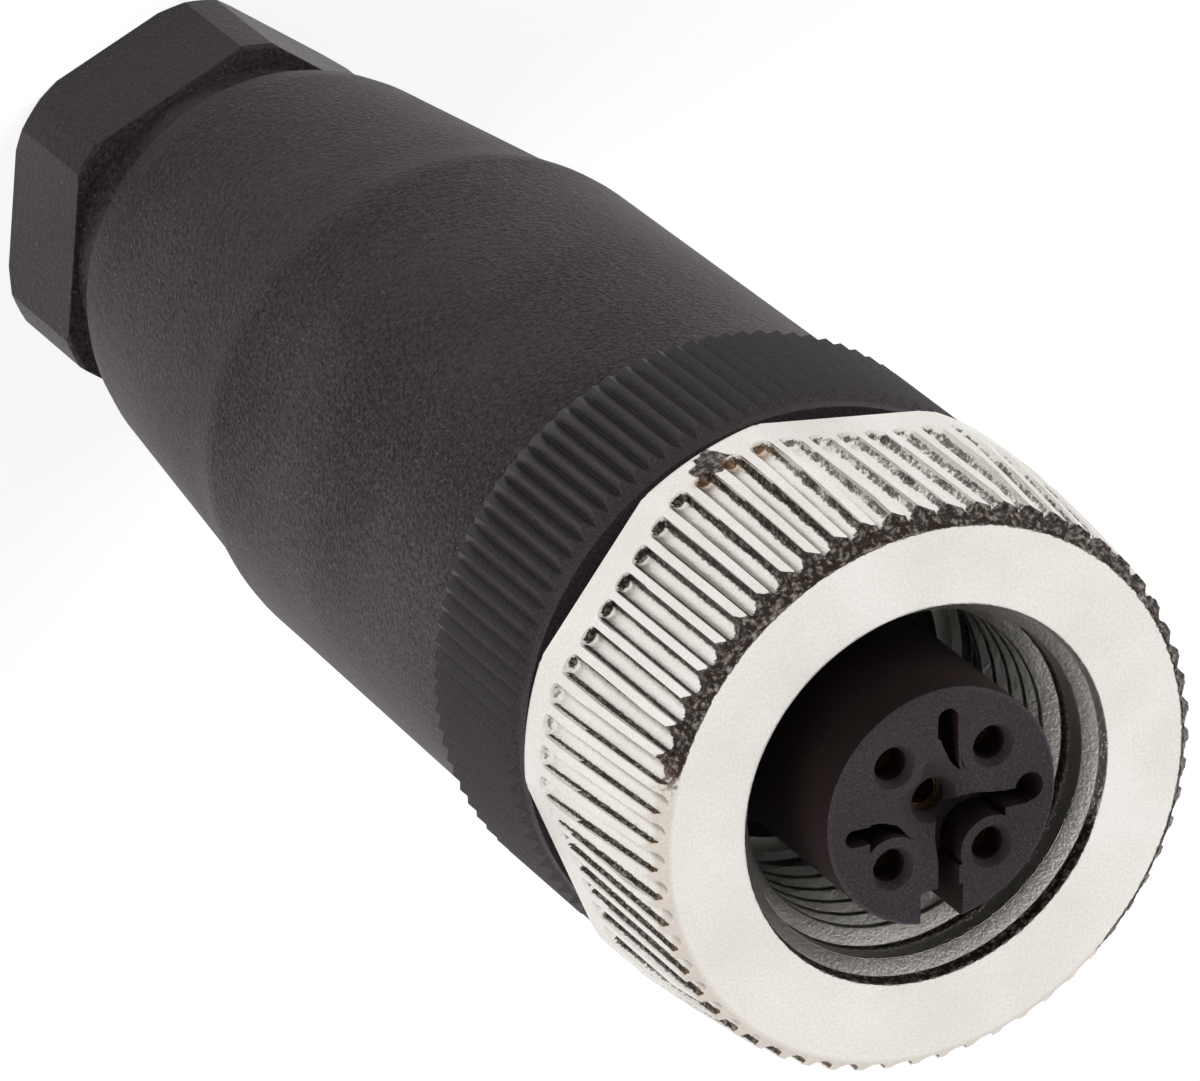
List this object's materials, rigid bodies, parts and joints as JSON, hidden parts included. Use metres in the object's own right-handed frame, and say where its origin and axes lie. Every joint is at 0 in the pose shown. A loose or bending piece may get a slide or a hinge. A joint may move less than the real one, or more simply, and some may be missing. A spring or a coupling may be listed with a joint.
{
  "type": "circular cable connector",
  "caption": "Straight M12 female cable connector: grooved metal coupling nut, keyed insert with pin sockets, knurled grip ring, tapered housing and hexagonal gland nut.",
  "frame": {"origin": "centre of the gland nut's rear face, which the connector stands on", "axes": "+Z along the connector's axis, out of the mating face; the coding key slot faces -Y"},
  "size_m": [0.0204, 0.02, 0.0565],
  "materials": {
    "nickel": "satin nickel plate on a zinc casting",
    "insert_plastic": "matte dark grey moulding",
    "seal_rubber": "matte rubber",
    "carrier_plastic": "matte black moulding",
    "contact_brass": "gold plate",
    "screw_steel": "plated steel",
    "housing_plastic": "spark-eroded matte black",
    "cage_plastic": "plain moulding",
    "gland_plastic": "satin black moulding"
  },
  "bodies": {
    "housing": {"housing": "housing_plastic", "cable_seal": "seal_rubber"},
    "seal_slide": {"housing_seal": "seal_rubber"},
    "carrier": {"contact_carrier": "carrier_plastic", "contact_insert": "insert_plastic", "face_seal": "seal_rubber", "contact_1": "contact_brass", "contact_2": "contact_brass", "contact_3": "contact_brass", "contact_4": "contact_brass", "contact_5": "contact_brass", "terminal_screws": "screw_steel"},
    "coupling_nut": {"coupling_nut": "nickel"},
    "cage_slide": {"clamp_cage": "cage_plastic"},
    "gland_nut": {"gland_nut": "gland_plastic"}
  },
  "joints": [
    {"name": "coupling_nut_spin", "type": "hinge", "parent": "carrier", "child": "coupling_nut", "pos_m": [0, 0, 0.05052], "axis": [0, 0, 1], "continuous": true},
    {"name": "carrier_lift", "type": "slide", "parent": "housing", "child": "seal_slide", "axis": [0, 0, 1], "range_m": [0, 0.0056]},
    {"name": "carrier_turn", "type": "hinge", "parent": "seal_slide", "child": "carrier", "pos_m": [0, 0, 0.03652], "axis": [0, 0, 1], "range_deg": [0, 2016]},
    {"name": "gland_travel", "type": "slide", "parent": "housing", "child": "cage_slide", "axis": [0, 0, -1], "range_m": [0, 0.006]},
    {"name": "gland_turn", "type": "hinge", "parent": "cage_slide", "child": "gland_nut", "pos_m": [0, 0, 0.00952], "axis": [0, 0, -1], "range_deg": [0, 1440]}
  ],
  "couplings": [
    {"joint": "carrier_turn", "follows": "carrier_lift", "rad_per_m": 6283.2},
    {"joint": "gland_turn", "follows": "gland_travel", "rad_per_m": 4188.8}
  ]
}
